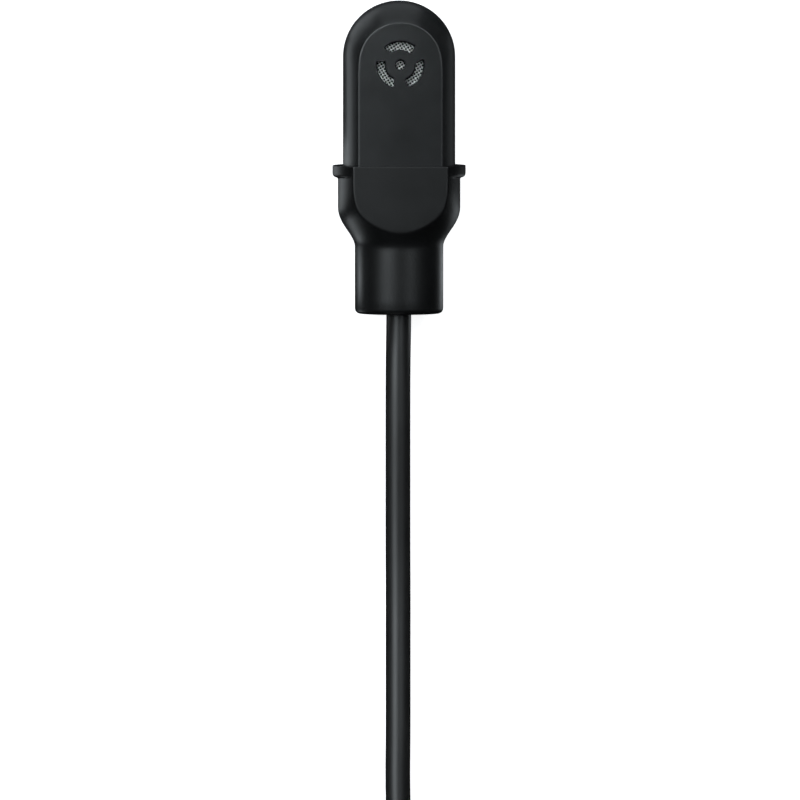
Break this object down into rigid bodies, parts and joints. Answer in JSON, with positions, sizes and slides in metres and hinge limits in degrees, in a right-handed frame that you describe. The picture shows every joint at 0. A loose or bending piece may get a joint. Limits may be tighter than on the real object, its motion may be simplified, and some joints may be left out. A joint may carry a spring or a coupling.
{
  "type": "lavalier microphone",
  "caption": "Slim black clip-on microphone head with a flat ported face, a rubber strain boot, and a thin cable folded into a tied hank that ends in a small locking connector.",
  "frame": {"origin": "on the surface that the head lies on, under the middle of the head's length and width", "axes": "+Y towards the head's domed tip, +Z out of the ported flat face, the cable leaves along -Y"},
  "size_m": [0.0176, 0.1502, 0.0115],
  "materials": {
    "housing": "satin black moulded plastic",
    "boot_rubber": "satin black moulded rubber",
    "cable_jacket": "satin black cable jacket",
    "steel_mesh": "bright woven stainless wire",
    "nickel": "nickel plate",
    "gold": "gold plate",
    "connector_metal": "black anodised metal",
    "black_plastic": "matt black moulded plastic",
    "foam": "fine closed-cell foam",
    "insulator": "natural insulating plastic",
    "membrane_cloth": "black water-repellent cloth",
    "film": "metallised film",
    "circuit_board": "green solder resist",
    "tie_fabric": "black hook-and-loop tape",
    "red_wire": "wire insulation",
    "blue_wire": "wire insulation",
    "copper": "bare copper strands"
  },
  "bodies": {
    "microphone": {"head_shell": "housing", "shell_seal": "boot_rubber", "strain_boot": "boot_rubber", "crimp_ferrule": "nickel", "capsule_carrier": "black_plastic", "backing_pad": "foam", "wire_grommet": "insulator", "signal_wire": "red_wire", "shield_wire": "copper", "bias_wire": "blue_wire", "grille_mesh": "steel_mesh", "windscreen_membrane": "membrane_cloth", "membrane_gasket": "foam", "capsule_can": "nickel", "diaphragm_ring": "nickel", "diaphragm": "film", "spacer_washer": "insulator", "backplate": "gold", "backplate_holder": "insulator", "contact_ring": "nickel", "capsule_board": "circuit_board", "fet_chip": "black_plastic", "cable_run": "cable_jacket", "cable_hank": "cable_jacket", "cable_tie": "tie_fabric", "cable_tail": "cable_jacket", "connector_shell": "connector_metal", "connector_insert": "black_plastic", "latch_spring": "nickel", "insert_screw": "nickel", "insulating_sleeve": "insulator", "cable_clamp": "black_plastic", "rear_nut": "connector_metal", "connector_boot": "boot_rubber", "contact_1": "gold", "contact_2": "gold", "contact_3": "gold", "contact_4": "gold", "lead_1": "red_wire", "lead_2": "blue_wire", "lead_3": "copper"},
    "latch": {"latch_button": "nickel"}
  },
  "joints": [
    {"name": "latch_press", "type": "slide", "parent": "microphone", "child": "latch", "axis": [0, 0, -1], "range_m": [0, 0.0008], "stiffness_N_per_m": 1500, "springref_m": -0.0006, "deforming": ["latch_spring"]}
  ]
}
